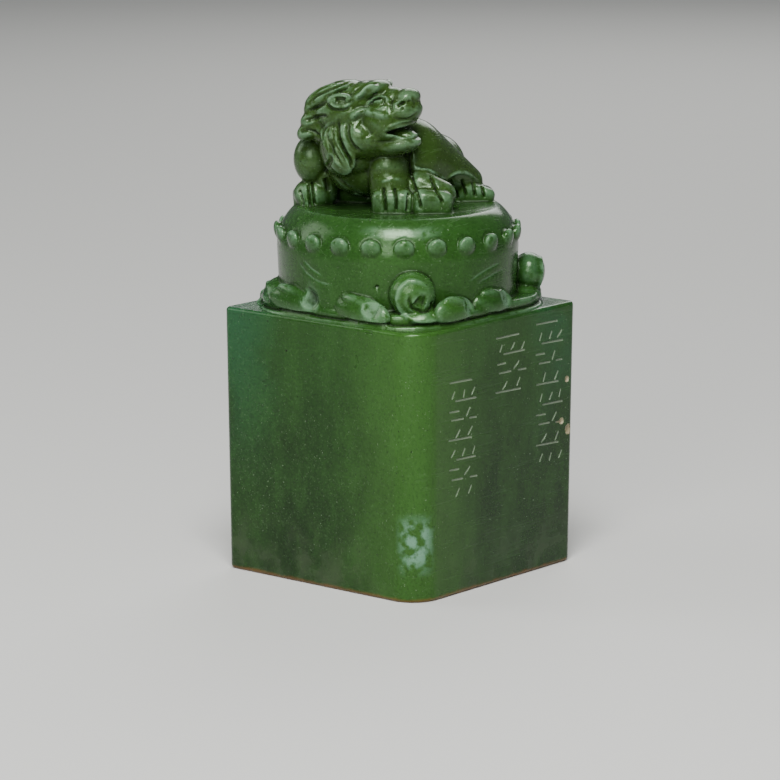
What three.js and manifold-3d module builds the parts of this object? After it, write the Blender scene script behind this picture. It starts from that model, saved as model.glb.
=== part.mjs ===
// A carved green stone seal. A square block with a flat printing face below carries a drum ringed
// with round nail heads, a border of breaking waves runs round the drum's foot, and a crouching
// lion on the drum is the handle. It is cut from one piece of stone, so it is one closed solid.
// Millimetres, +Z up, origin under the middle of the block. The lion's chest faces -Y, and its
// head is turned over its left shoulder, towards +X.
import * as THREE from 'three';
import { mergeVertices } from 'three/addons/utils/BufferGeometryUtils.js';
import Module from 'manifold-3d';

const wasm = await Module();
wasm.setup();

// Block
const SIDE = 32.6;
const BLOCK_HEIGHT = 34.8;
const FOOT_TAPER = 0.0186;
const CORNER_RADIUS = 1;
const FRONT_CORNER_RADIUS = 4;
const EDGE_ROUNDING = 0.5;

// Sloping rim that lifts the wave border off the block, and the band that the border is cut from
const RIM = { side: 32.2, rise: 0.65, slope: [0.65, 0.35] };
const BAND = { side: 31.5, rise: 1.7, slope: [0.45, 0.3] };
const RIM_CORNER_RADIUS = 10;
const RIM_SUNK = 1;

// Drum
const DRUM_RADIUS = 15.65;
const DRUM_FOOT_RADIUS = 15.3;
const DRUM_TOP_RADIUS = 12.9;
const DRUM_HEIGHT = 13.1;
const DRUM_SHOULDER = 5.2;
const SHOULDER_STEPS = 4;
const SHOULDER_CURVE = [2, 0.75];
const DRUM_SUNK = 1;
const DRUM_TOP = BLOCK_HEIGHT + DRUM_HEIGHT;
const DRUM_OFF_CENTRE = [-0.27, -0.22, 0];
const NAIL_COUNT = 23;
const NAIL_RADIUS = 1.32;
const NAIL_PROUD = 0.65;
const NAIL_TILT = 10;
const NAIL_LEVEL = BLOCK_HEIGHT + 9.6;
const NAIL_START = -47.4;
const NAIL_SUNK = 0.25;

// Wave border: a scroll at each corner of the block, then two crests up to the next corner
const SCROLL_RADIUS = 2.95;
const SCROLL_EYE_RADIUS = 1.2;
const SCROLL_GROOVE = 0.55;
const SCROLL_EYE_HEIGHT = 4;
const SCROLL_DEPTH = 2.6;
const SCROLL_CUT = 1;
const SCROLL_TAIL = { at: [1.2, -2.75], in: 0, size: [3.2, 1.3, 2.6] };
const SCROLL_FOOT = { at: [-0.4, -3.2], in: 0.6, size: [3.4, 1.8, 2.3] };
const SCROLLS = [
  { angle: -45, face: 18.6, drop: 0, narrow: 1, base: SCROLL_TAIL },
  { angle: 45, face: 18.95, drop: 0, narrow: 0.85, base: SCROLL_FOOT },
  { angle: 135, face: 18.8, drop: 0, narrow: 0.9, base: SCROLL_FOOT },
  { angle: 225, face: 18, drop: 3.1, narrow: 1, base: SCROLL_TAIL },
];
const CRESTS = [
  { angle: -90, along: 6, half: 4.6 },
  { angle: -90, along: -4.4, half: 5.2 },
  { angle: 0, along: -7.3, half: 3.8 },
  { angle: 0, along: 0.3, half: 3.9 },
  { angle: 90, along: -7, half: 3.9 },
  { angle: 90, along: 1, half: 4.1 },
  { angle: 180, along: -7, half: 3.9 },
  { angle: 180, along: 1, half: 4.1 },
];
const CREST_LEVEL = 1.6;
const CREST_HEIGHT = 2.1;
const CREST_DEPTH = 1.35;
const CREST_REACH = 14.85;
const CREST_LEAN = -5;
const FOLD_RISE = 1.15;
const FOLD_PROUD = 0.35;
const FOLD_LENGTH = 0.62;
const FOLD_HEIGHT = 0.95;
const FOLD_DEPTH = 0.85;
const FOLD_LEAN = -14;

// Lion
const HEAD_AT = [-1.9, -6.8, 11.15];
const HEAD_TURN = 15;
const PAW_ROUNDING = 0.8;
const PAW_SUNK = 0.9;
const TOE_CUT = 0.5;
const STONE_GREEN = 0x3f6b3d;

// Edges shorter than this, where the masses meet, are drawn together
const SLIVER = 0.02;

// Facets round and along the rounded masses
const FINE = [12, 8];
const PLAIN = [10, 7];
const SMALL = [7, 6];
const TINY = [6, 5];
const LIMB_SIDES = 11;
const DRUM_SIDES = 36;
const NAIL_SIDES = 6;

const degrees = THREE.MathUtils.degToRad;

// Places a geometry: turned by degrees about X, then Y, then Z, and moved
function place(geometry, at, turn = [0, 0, 0]) {
  const euler = new THREE.Euler(...turn.map(degrees), 'ZYX');
  const matrix = new THREE.Matrix4().makeRotationFromEuler(euler).setPosition(...at);
  return geometry.applyMatrix4(matrix);
}

// Places a geometry drawn in X and Y on the outside of the drum: X runs round it, Y up, Z outwards
function placeRound(geometry, angle, height) {
  const outward = new THREE.Vector3(Math.cos(degrees(angle)), Math.sin(degrees(angle)), 0);
  const up = new THREE.Vector3(0, 0, 1);
  const matrix = new THREE.Matrix4().makeBasis(up.clone().cross(outward), up, outward);
  return geometry.applyMatrix4(matrix.setPosition(0, 0, height));
}

function ellipsoid(at, radii, turn, facets = PLAIN) {
  return place(new THREE.SphereGeometry(1, ...facets).scale(...radii), at, turn);
}

// A limb with round ends that tapers from one radius to another
function limb(from, to, fromRadius, toRadius) {
  const start = new THREE.Vector3(...from);
  const axis = new THREE.Vector3(...to).sub(start);
  const length = axis.length();
  const outline = new THREE.Path();
  outline.moveTo(0, -fromRadius);
  outline.absarc(0, 0, fromRadius, -Math.PI / 2, 0, false);
  outline.absarc(0, length, toRadius, 0, Math.PI / 2, false);
  const geometry = new THREE.LatheGeometry(outline.getPoints(2), LIMB_SIDES);
  const turn = new THREE.Quaternion().setFromUnitVectors(new THREE.Vector3(0, 1, 0), axis.normalize());
  return geometry.applyQuaternion(turn).translate(...from);
}

function toSolid(geometry) {
  const plain = geometry.clone();
  plain.deleteAttribute('normal');
  plain.deleteAttribute('uv');
  const merged = mergeVertices(plain, 1e-4);
  return new wasm.Manifold(
    new wasm.Mesh({
      numProp: 3,
      vertProperties: merged.attributes.position.array,
      triVerts: new Uint32Array(merged.index.array),
    }),
  );
}

function join(geometries) {
  return geometries.map(toSolid).reduce((all, one) => all.add(one));
}

function roundedSquare(side, radii) {
  const half = side / 2;
  const corners = [[half, -half], [half, half], [-half, half], [-half, -half]];
  const shape = new THREE.Shape();
  corners.forEach(([x, y], i) => {
    const centre = [x - Math.sign(x) * radii[i], y - Math.sign(y) * radii[i]];
    const start = (i - 1) * Math.PI / 2;
    shape.absarc(...centre, radii[i], start, start + Math.PI / 2, false);
  });
  return shape;
}

// The block's outline has one corner rounded far more than the others, the one towards +X and -Y
const blockOutline = roundedSquare(SIDE, [FRONT_CORNER_RADIUS, ...Array(3).fill(CORNER_RADIUS)]);

function block() {
  const geometry = new THREE.ExtrudeGeometry(blockOutline, {
    depth: BLOCK_HEIGHT - 2 * EDGE_ROUNDING,
    curveSegments: 3,
    bevelThickness: EDGE_ROUNDING,
    bevelSize: EDGE_ROUNDING,
    bevelOffset: -EDGE_ROUNDING,
    bevelSegments: 2,
  }).translate(0, 0, EDGE_ROUNDING);
  const position = geometry.attributes.position;
  for (let i = 0; i < position.count; i++) {
    const scale = 1 - FOOT_TAPER * (1 - position.getZ(i) / BLOCK_HEIGHT);
    position.setXY(i, position.getX(i) * scale, position.getY(i) * scale);
  }
  return geometry;
}

// A square step with rounded corners on the block, its upper edge drawn in
function step({ side, rise, slope: [height, inset] }) {
  const geometry = new THREE.ExtrudeGeometry(roundedSquare(side, Array(4).fill(RIM_CORNER_RADIUS)), {
    depth: RIM_SUNK + rise - height,
    curveSegments: 4,
    bevelThickness: height,
    bevelSize: inset,
    bevelOffset: -inset,
    bevelSegments: 1,
  });
  return geometry.translate(0, 0, BLOCK_HEIGHT - RIM_SUNK);
}

// The drum's outline, with a rounded shoulder up to its flat top
function drumOutline() {
  const wall = DRUM_HEIGHT - DRUM_SHOULDER;
  const width = DRUM_RADIUS - DRUM_TOP_RADIUS;
  const points = [[0, -DRUM_SUNK], [DRUM_FOOT_RADIUS, -DRUM_SUNK], [DRUM_RADIUS, wall]];
  for (let i = 1; i <= SHOULDER_STEPS; i++) {
    const rise = Math.sin((Math.PI / 2) * (i / SHOULDER_STEPS));
    const reach = (1 - rise ** SHOULDER_CURVE[0]) ** SHOULDER_CURVE[1];
    points.push([DRUM_TOP_RADIUS + width * reach, wall + DRUM_SHOULDER * rise]);
  }
  points.push([0, DRUM_HEIGHT]);
  return points.map((point) => new THREE.Vector2(...point));
}

function drum() {
  return place(new THREE.LatheGeometry(drumOutline(), DRUM_SIDES), [0, 0, BLOCK_HEIGHT], [90, 0, 0]);
}

// Half of a nail head, with a short shank that is sunk in the wall
function nailOutline() {
  const outline = new THREE.Path();
  outline.moveTo(0, -NAIL_SUNK);
  outline.lineTo(NAIL_RADIUS, -NAIL_SUNK);
  outline.absellipse(0, 0, NAIL_RADIUS, NAIL_PROUD, 0, Math.PI / 2, false);
  return outline.getPoints(1);
}

function nails() {
  const wall = DRUM_RADIUS - NAIL_SUNK;
  return Array.from({ length: NAIL_COUNT }, (_, i) => {
    const head = new THREE.LatheGeometry(nailOutline(), NAIL_SIDES);
    place(head, [0, 0, wall], [90 + NAIL_TILT, 0, 0]);
    return placeRound(head, NAIL_START + (i * 360) / NAIL_COUNT, NAIL_LEVEL);
  });
}

// A wave that rolls over into a scroll, on a base that runs off along the foot
function scroll({ angle, face, drop, narrow, base }) {
  const [radius, depth] = [narrow * SCROLL_RADIUS, narrow * SCROLL_DEPTH];
  const middle = face - depth;
  const curl = ellipsoid([0, 0, middle], [radius, radius, depth], [90, 0, 0]);
  const foot = ellipsoid([...base.at, middle - base.in], base.size, [0, 0, 0], SMALL);
  return [curl, foot].map((piece) => placeRound(piece, angle, BLOCK_HEIGHT + SCROLL_EYE_HEIGHT - drop));
}

// The cut that winds the scroll round its eye, open towards the tail
function scrollGroove({ angle, face, drop, narrow }) {
  const shape = new THREE.Shape();
  const eye = narrow * SCROLL_EYE_RADIUS;
  shape.absarc(0, 0, eye + SCROLL_GROOVE, degrees(70), degrees(375), false);
  shape.absarc(0, 0, eye, degrees(375), degrees(70), true);
  const cut = { depth: SCROLL_CUT, curveSegments: 4, bevelEnabled: false };
  const groove = new THREE.ExtrudeGeometry(shape, cut);
  groove.translate(0, 0, face - SCROLL_CUT);
  return placeRound(groove, angle, BLOCK_HEIGHT + SCROLL_EYE_HEIGHT - drop);
}

// A low swelling wave with a fold that falls from its peak
function crest({ angle, along, half }) {
  const swellSize = [half, CREST_HEIGHT, CREST_DEPTH];
  const swell = ellipsoid([along, CREST_LEVEL, CREST_REACH], swellSize, [0, 0, CREST_LEAN], SMALL);
  const foldAt = [along, CREST_LEVEL + FOLD_RISE, CREST_REACH + FOLD_PROUD];
  const foldSize = [FOLD_LENGTH * half, FOLD_HEIGHT, FOLD_DEPTH];
  const fold = ellipsoid(foldAt, foldSize, [0, 0, FOLD_LEAN], TINY);
  return [swell, fold].map((piece) => placeRound(piece, angle, BLOCK_HEIGHT));
}

function waveBorder() {
  const scrolls = join(SCROLLS.flatMap(scroll)).subtract(join(SCROLLS.map(scrollGroove)));
  return scrolls.add(join(CRESTS.flatMap(crest)));
}

// A square-cut paw, its toes towards +X before it is rolled and turned, with a cut between each two
function paw(at, [roll, heading], [width, length, height], toes) {
  const front = length / 2;
  const outline = new THREE.Shape();
  outline.moveTo(-front, -PAW_SUNK);
  outline.lineTo(front, -PAW_SUNK);
  outline.lineTo(front, height * 0.4);
  outline.quadraticCurveTo(front, height * 0.85, front * 0.3, height);
  outline.lineTo(-front, height);
  const foot = new THREE.ExtrudeGeometry(outline, {
    depth: width - 2 * PAW_ROUNDING,
    curveSegments: 3,
    bevelThickness: PAW_ROUNDING,
    bevelSize: PAW_ROUNDING,
    bevelOffset: -PAW_ROUNDING,
    bevelSegments: 1,
  });
  const whole = toSolid(place(foot, [0, width / 2 - PAW_ROUNDING, 0], [90, 0, 0]));
  const pitch = width / toes;
  const cuts = Array.from({ length: toes - 1 }, (_, i) => {
    const cut = new THREE.BoxGeometry(TOE_CUT, TOE_CUT, height * 1.3).rotateZ(Math.PI / 4);
    return place(cut, [front * 0.94, (i + 1) * pitch - width / 2, height * 0.45], [0, -14, 0]);
  });
  return place(meshOf(whole.subtract(join(cuts))), at, [roll, 0, heading]);
}

// The body slopes from high shoulders down to a low rump. The beast lies on its right hip, so both
// hind feet come out on its left, and the tail is laid over the hip. Heights are above the drum.
function body() {
  const chest = ellipsoid([-2.7, -4.4, 4.9], [5, 4.6, 4.3], [0, 0, 12], FINE);
  const belly = ellipsoid([-5.6, -0.6, 1.6], [4.6, 3.2, 2.8], [0, 0, 40]);
  const throat = ellipsoid([-1.8, -6.9, 7], [3.2, 2.9, 2.6], [0, 0, 0]);
  const back = limb([-1.6, -1.6, 6.1], [0.2, 6.2, 4.2], 5.2, 4.4);
  const leftThigh = limb([0.6, 0.6, 6], [3.6, 9.2, 2.2], 5.3, 2.1);
  const rightHip = limb([-3.4, 1.6, 5], [-4.6, 8.8, 2.3], 4.6, 2.3);
  const tail = limb([0.4, 10.2, 1.4], [-2.8, 8.6, 5], 1, 1.4);
  return [chest, belly, throat, back, leftThigh, rightHip, tail];
}

function legs() {
  const leftFore = limb([1.9, -4.8, 5.6], [2.7, -5.1, 1.6], 2.7, 2.65);
  const leftForePaw = paw([3.5, -5.8, 0], [0, -56], [5.3, 4, 3.1], 4);
  const rightShoulder = ellipsoid([-8.5, -7.6, 5.9], [2.4, 2.5, 3.2], [0, 0, 20]);
  const rightFore = limb([-7.2, -6.4, 4], [-7.4, -6.4, 1.4], 1.8, 1.7);
  const rightWrist = ellipsoid([-8.5, -7.4, 1.3], [2.6, 2.3, 2.1], [0, 0, 20]);
  const rightForePaw = paw([-8.6, -7.4, 0], [12, -112], [4.3, 4.2, 2.6], 4);
  const nearHock = limb([5, -2.2, 3], [7.4, -0.9, 1.9], 2.2, 2);
  const nearHindPaw = paw([7.1, -2.5, 0], [-6, -45], [5.2, 4.8, 3], 3);
  const farHindPaw = paw([4.8, 8.4, 0], [-17, -45], [5.7, 4, 2.3], 4);
  return [
    leftFore, leftForePaw, rightShoulder, rightFore, rightWrist, rightForePaw, nearHock, nearHindPaw,
    farHindPaw,
  ];
}

// The mirrored features of the head, in its own frame: X forwards, Y to its left, Z up
function headSide(side) {
  const brow = ellipsoid([2.2, side * 2.15, 4], [2.4, 0.85, 0.75], [0, -26, side * -6], TINY);
  const eye = ellipsoid([4.5, side * 2.05, 3], [1.45, 0.62, 0.8], [0, -14, 0], TINY);
  const ear = ellipsoid([-0.4, side * 4, 3.3], [1.8, 0.75, 1.05], [0, -12, 0], TINY);
  const crownLock = ellipsoid([-3.2, side * 2, 3.3], [3.3, 1.8, 1.4], [0, -27, side * 6], SMALL);
  const napeLocks = [0, 1, 2].map((i) =>
    ellipsoid([-4.7 - 0.55 * i, side * 1.7, 1.9 - 1.9 * i], [1.7, 1.7, 1.3], [0, -30, 0], TINY),
  );
  const cheekLocks = [0, 1].map((i) =>
    ellipsoid([-1.4 + 2 * i, side * 3.9, -2.7], [1.35, 0.8, 3.2], [0, -22, 0], TINY),
  );
  return [brow, eye, ear, crownLock, ...napeLocks, ...cheekLocks];
}

function head() {
  const skull = ellipsoid([-0.7, 0, 1.7], [5, 4.4, 3.75], [0, 0, 0], FINE);
  const jowls = ellipsoid([1, 0, -1.4], [4.8, 4.7, 3.6], [0, 0, 0], FINE);
  const face = ellipsoid([4.2, 0, 0.4], [4.2, 3.7, 3.5], [0, -12, 0]);
  const muzzle = ellipsoid([6.1, 0, 1.8], [3.2, 2.9, 2], [0, -10, 0]);
  const nose = ellipsoid([7.4, 0, 3.5], [1.6, 2.1, 1.3], [0, -15, 0], SMALL);
  const bridge = ellipsoid([5, 0, 3.2], [2.2, 1.7, 1.4], [0, -5, 0], SMALL);
  const jaw = ellipsoid([5.6, 0, -2.5], [3.6, 2.6, 1.5], [0, -10, 0]);
  const forehead = ellipsoid([3.1, 0, 4.5], [1.8, 2.7, 1.15], [0, -10, 0], SMALL);
  const crown = ellipsoid([1.2, 0, 4.2], [2.6, 2.4, 1.2], [0, -12, 0], SMALL);
  const ruff = ellipsoid([-1.3, 0, -2.8], [3.2, 4.3, 4.4], [0, 0, 0]);
  const nape = ellipsoid([-3.8, 0, -0.6], [2.4, 3, 2.8], [0, 0, 0]);
  const tongue = ellipsoid([6, 0, -1.2], [2.6, 1.5, 0.8], [0, 0, 0], SMALL);
  const middle = [skull, jowls, face, muzzle, nose, bridge, jaw, forehead, crown, ruff, nape];
  const closed = join([...middle, ...headSide(-1), ...headSide(1)]);
  return closed.subtract(toSolid(mouth())).add(toSolid(tongue));
}

// The gape between the lips, a wedge right across the muzzle
function mouth() {
  const corner = [5.7, -0.7];
  const reach = 11;
  const lips = [-2.2, 1.1];
  const width = 9;
  const shape = new THREE.Shape();
  shape.moveTo(...corner);
  shape.lineTo(reach, lips[0]);
  shape.lineTo(reach, lips[1]);
  const wedge = new THREE.ExtrudeGeometry(shape, { depth: width, bevelEnabled: false });
  return place(wedge, [0, width / 2, 0], [90, 0, 0]);
}

function lion() {
  const turnedHead = place(meshOf(head()), HEAD_AT, [0, 0, HEAD_TURN]);
  return meshOf(join([...body(), ...legs(), turnedHead])).translate(0, 0, DRUM_TOP);
}

function meshOf(solid) {
  const { vertProperties, triVerts } = solid.getMesh();
  const geometry = new THREE.BufferGeometry();
  geometry.setAttribute('position', new THREE.BufferAttribute(vertProperties, 3));
  return geometry.setIndex(new THREE.BufferAttribute(triVerts, 1));
}

const roundDrum = [drum(), ...nails()].map((piece) => piece.translate(...DRUM_OFF_CENTRE));
const masses = join([block(), step(RIM), step(BAND), ...roundDrum, lion()]);
const carving = masses.add(waveBorder()).simplify(SLIVER);
const stone = new THREE.MeshStandardMaterial({ color: STONE_GREEN, roughness: 0.4, metalness: 0 });
const seal = new THREE.Mesh(meshOf(carving), stone);
seal.name = 'stone_seal';

const group = new THREE.Group();
group.add(seal);
export default group;
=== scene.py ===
import math

import bmesh
import bpy
import numpy as np
from mathutils import Euler, Matrix, Vector
from mathutils.bvhtree import BVHTree


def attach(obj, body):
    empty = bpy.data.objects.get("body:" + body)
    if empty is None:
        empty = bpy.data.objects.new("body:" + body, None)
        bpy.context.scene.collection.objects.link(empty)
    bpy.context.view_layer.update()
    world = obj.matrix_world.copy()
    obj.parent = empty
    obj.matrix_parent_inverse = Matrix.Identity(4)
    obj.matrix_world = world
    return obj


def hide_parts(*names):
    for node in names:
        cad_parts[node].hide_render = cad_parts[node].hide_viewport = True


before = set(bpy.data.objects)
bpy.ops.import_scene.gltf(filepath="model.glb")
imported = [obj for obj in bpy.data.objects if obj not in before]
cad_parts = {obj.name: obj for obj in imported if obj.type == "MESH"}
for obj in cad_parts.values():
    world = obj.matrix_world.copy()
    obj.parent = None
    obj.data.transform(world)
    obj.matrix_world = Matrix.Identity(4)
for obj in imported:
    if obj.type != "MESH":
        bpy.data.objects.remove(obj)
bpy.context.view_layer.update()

# Block
# The body of the seal is a square prism of green stone, sawn, ground flat and polished. Its foot is
# a little narrower than its top, and the edge towards the viewer is rounded over far more than the
# rest. The whole seal is cut from this one stone. It is modelled in millimetres and scaled at the end.
SIDE = 32.6
BLOCK_HEIGHT = 34.8
FOOT_TAPER = 0.0186
CORNER_RADIUS = 1.0
FRONT_CORNER_RADIUS = 4.0
EDGE_ROUNDING = 0.5
CORNER_FACETS = 6
FRONT_CORNER_FACETS = 16
EDGE_FACETS = 4
# How squarely a face or an edge lies along an axis to be picked, and the slack on its place
SQUARE_ON = 0.9
SLACK = 0.001
MILLIMETRE = 0.001


def settle(piece):
    """Puts a piece's place, turn and scale into its mesh."""
    bpy.ops.object.select_all(action="DESELECT")
    piece.select_set(True)
    bpy.context.view_layer.objects.active = piece
    bpy.ops.object.transform_apply(location=True, rotation=True, scale=True)
    return piece


def box(middle, size):
    bpy.ops.object.select_all(action="DESELECT")
    bpy.ops.mesh.primitive_cube_add(size=1, location=middle, scale=size)
    return settle(bpy.context.object)


def pick(kind, wanted):
    """Selects what the test wants of the mesh that is being edited."""
    bpy.ops.mesh.select_mode(type=kind)
    bpy.ops.mesh.select_all(action="DESELECT")
    mesh = bpy.context.object.data
    bm = bmesh.from_edit_mesh(mesh)
    for part in {"EDGE": bm.edges, "FACE": bm.faces}[kind]:
        part.select_set(wanted(part))
    bmesh.update_edit_mesh(mesh)


def upright(edge):
    low, high = sorted(corner.co.z for corner in edge.verts)
    return high - low > SQUARE_ON * (edge.verts[1].co - edge.verts[0].co).length


def at_front(edge):
    return all(corner.co.x > 0 and corner.co.y < 0 for corner in edge.verts)


def on_rim(edge):
    heights = [corner.co.z for corner in edge.verts]
    return max(heights) < SLACK or min(heights) > BLOCK_HEIGHT - SLACK


def on_top(face):
    return face.normal.z > SQUARE_ON


block = box((0, 0, BLOCK_HEIGHT / 2), (SIDE, SIDE, BLOCK_HEIGHT))
bpy.ops.object.mode_set(mode="EDIT")
pick("FACE", lambda face: face.normal.z < -SQUARE_ON)
bpy.ops.transform.resize(value=(1 - FOOT_TAPER, 1 - FOOT_TAPER, 1), center_override=(0, 0, 0))
pick("EDGE", lambda edge: upright(edge) and at_front(edge))
bpy.ops.mesh.bevel(offset=FRONT_CORNER_RADIUS, segments=FRONT_CORNER_FACETS, affect="EDGES")
pick("EDGE", lambda edge: upright(edge) and not at_front(edge))
bpy.ops.mesh.bevel(offset=CORNER_RADIUS, segments=CORNER_FACETS, affect="EDGES")
pick("EDGE", on_rim)
bpy.ops.mesh.bevel(offset=EDGE_ROUNDING, segments=EDGE_FACETS, affect="EDGES")
bpy.ops.object.mode_set(mode="OBJECT")

# Rim and drum
# A low sloping rim, a square with rounded corners, lifts the carving off the block. On it stands a
# low band and a drum with a rounded shoulder, turned by eye and so a little off the middle.
# A step's courses: how far each rises, and what part of its width is left
RIM_SIDE = 32.2
RIM_STEPS = [(0.65, 0.978)]
BAND_SIDE = 31.5
BAND_STEPS = [(1.15, 1.0), (0.35, 0.994), (0.2, 0.98)]
RIM_CORNER_RADIUS = 10.0
RIM_CORNER_FACETS = 14
STEP_SUNK = 1.0
DRUM_RADIUS = 15.65
DRUM_FOOT_RADIUS = 15.3
DRUM_TOP_RADIUS = 12.9
DRUM_HEIGHT = 13.1
DRUM_SHOULDER = 5.2
DRUM_SUNK = 1.0
DRUM_FACETS = 160
DRUM_TOP = BLOCK_HEIGHT + DRUM_HEIGHT
DRUM_MIDDLE = Vector((-0.27, -0.22, 0))
SHOULDER_STEPS = 12
SHOULDER_CURVE = (2.0, 0.75)


def draw_up(rise, scale):
    """Extrudes the picked top face upwards and draws it in."""
    bpy.ops.mesh.extrude_region_move(TRANSFORM_OT_translate={"value": (0, 0, rise)})
    bpy.ops.transform.resize(value=(scale, scale, 1), center_override=(0, 0, 0))


def rounded_step(side, steps):
    """A square step with rounded corners on the block, its sides drawn in as they rise."""
    step = box((0, 0, BLOCK_HEIGHT - STEP_SUNK / 2), (side, side, STEP_SUNK))
    bpy.ops.object.mode_set(mode="EDIT")
    pick("EDGE", upright)
    bpy.ops.mesh.bevel(offset=RIM_CORNER_RADIUS, segments=RIM_CORNER_FACETS, affect="EDGES")
    pick("FACE", on_top)
    for rise, scale in steps:
        draw_up(rise, scale)
    bpy.ops.object.mode_set(mode="OBJECT")
    return step


rim = rounded_step(RIM_SIDE, RIM_STEPS)
band = rounded_step(BAND_SIDE, BAND_STEPS)

wall = DRUM_HEIGHT - DRUM_SHOULDER
bpy.ops.object.select_all(action="DESELECT")
bpy.ops.mesh.primitive_cylinder_add(
    vertices=DRUM_FACETS,
    radius=DRUM_FOOT_RADIUS,
    depth=DRUM_SUNK,
    location=(0, 0, BLOCK_HEIGHT - DRUM_SUNK / 2),
)
drum = settle(bpy.context.object)
bpy.ops.object.mode_set(mode="EDIT")
pick("FACE", on_top)
draw_up(wall, DRUM_RADIUS / DRUM_FOOT_RADIUS)
rings = [(0.0, DRUM_RADIUS)]
for step in range(1, SHOULDER_STEPS + 1):
    rise = math.sin(math.radians(90 * step / SHOULDER_STEPS))
    reach = (1 - rise**SHOULDER_CURVE[0]) ** SHOULDER_CURVE[1]
    rings.append((rise * DRUM_SHOULDER, DRUM_TOP_RADIUS + (DRUM_RADIUS - DRUM_TOP_RADIUS) * reach))
for (low, wide), (high, narrow) in zip(rings, rings[1:]):
    draw_up(high - low, narrow / wide)
bpy.ops.object.mode_set(mode="OBJECT")
drum.location = DRUM_MIDDLE
settle(drum)
carved = [rim, band, drum]

# Nails
# A row of low round nail heads runs round the drum's shoulder, as on a drum with a nailed skin.
# They are left standing when the wall is cut back, and a fine cut runs over the top of each.
NAIL_COUNT = 23
NAIL_RADIUS = 1.32
NAIL_PROUD = 0.65
NAIL_SUNK = 0.25
NAIL_TILT = 14
NAIL_LEVEL = BLOCK_HEIGHT + 9.6
NAIL_START = -47.4


def mass(at, radii, turn=(0, 0, 0), carrier=Matrix.Identity(4), segments=32):
    """A rounded swell of stone, turned by degrees about X, then Y, then Z, in its carrier's frame."""
    bpy.ops.object.select_all(action="DESELECT")
    bpy.ops.mesh.primitive_uv_sphere_add(segments=segments, ring_count=segments // 2, radius=1)
    turned = Euler([math.radians(part) for part in turn]).to_matrix().to_4x4()
    swell = bpy.context.object
    swell.matrix_world = carrier @ Matrix.Translation(at) @ turned @ Matrix.Diagonal((*radii, 1))
    return settle(swell)


def round_place(angle, height):
    """A frame on the drum's axis: X runs round the drum, Y up, and Z outwards at that angle."""
    turn = math.radians(angle)
    outward = Vector((math.cos(turn), math.sin(turn), 0))
    up = Vector((0, 0, 1))
    axes = Matrix((up.cross(outward), up, outward)).transposed()
    return Matrix.Translation((0, 0, height)) @ axes.to_4x4()


nail_at = (0, 0, DRUM_RADIUS - NAIL_SUNK)
nail_size = (NAIL_RADIUS, NAIL_RADIUS, NAIL_PROUD)
nail_places = []
for number in range(NAIL_COUNT):
    place = round_place(NAIL_START + 360 * number / NAIL_COUNT, NAIL_LEVEL)
    nail_places.append(Matrix.Translation(DRUM_MIDDLE) @ place)
    carved.append(mass(nail_at, nail_size, (NAIL_TILT, 0, 0), nail_places[-1]))

# Wave border
# Breaking waves run round the drum's foot: at each corner of the block a wave rolls over into a
# scroll that hangs out past the drum, and two lower crests run along each side to the next corner.
# Each crest has a fold of water lying along its top.
SCROLL_RADIUS = 2.95
SCROLL_EYE_HEIGHT = 4.0
SCROLL_DEPTH = 2.6
SCROLL_TAIL = {"at": (1.2, -2.75), "size": (3.2, 1.3, 2.6)}
SCROLL_FOOT = {"at": (-0.4, -3.2), "inset": 0.6, "size": (3.4, 1.8, 2.3)}
SCROLLS = [
    {"angle": -45, "face": 18.6, "drop": 0.0, "narrow": 1.0},
    {"angle": 45, "face": 18.95, "drop": 0.0, "narrow": 0.85},
    {"angle": 135, "face": 18.8, "drop": 0.0, "narrow": 0.9},
    {"angle": 225, "face": 18.0, "drop": 3.1, "narrow": 1.0},
]
CREST_HEIGHT = 2.1
CREST_DEPTH = 1.35
CREST_LEVEL = 1.6
CREST_REACH = 14.85
CREST_LEAN = -5
FOLD = {"along": -0.05, "up": 1.15, "out": 0.35, "half": 0.62, "height": 0.95, "depth": 0.85, "lean": -14}
CREST_SIDES = {
    -90: [{"along": 6.0, "half": 4.6}, {"along": -4.4, "half": 5.2}],
    0: [{"along": -7.3, "half": 3.8}, {"along": 0.3, "half": 3.9}],
    90: [{"along": -7.0, "half": 3.9}, {"along": 1.0, "half": 4.1}],
    180: [{"along": -7.0, "half": 3.9}, {"along": 1.0, "half": 4.1}],
}

scroll_places = []
crest_places = []
for scroll in SCROLLS:
    place = round_place(scroll["angle"], BLOCK_HEIGHT + SCROLL_EYE_HEIGHT - scroll["drop"])
    radius = scroll["narrow"] * SCROLL_RADIUS
    depth = scroll["narrow"] * SCROLL_DEPTH
    middle = scroll["face"] - depth
    carved.append(mass((0, 0, middle), (radius, radius, depth), carrier=place))
    if scroll["narrow"] < 1:
        foot_at = (*SCROLL_FOOT["at"], middle - SCROLL_FOOT["inset"])
        carved.append(mass(foot_at, SCROLL_FOOT["size"], carrier=place))
    else:
        carved.append(mass((*SCROLL_TAIL["at"], middle), SCROLL_TAIL["size"], carrier=place))
    scroll_places.append((place, scroll["narrow"]))
for angle, crests in CREST_SIDES.items():
    place = round_place(angle, BLOCK_HEIGHT)
    for crest in crests:
        along, half = crest["along"], crest["half"]
        crest_at = (along, CREST_LEVEL, CREST_REACH)
        carved.append(mass(crest_at, (half, CREST_HEIGHT, CREST_DEPTH), (0, 0, CREST_LEAN), place))
        fold_at = (along + FOLD["along"] * half, CREST_LEVEL + FOLD["up"], CREST_REACH + FOLD["out"])
        fold_size = (FOLD["half"] * half, FOLD["height"], FOLD["depth"])
        carved.append(mass(fold_at, fold_size, (0, 0, FOLD["lean"]), place))
        crest_places.append((place, along, half))

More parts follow.
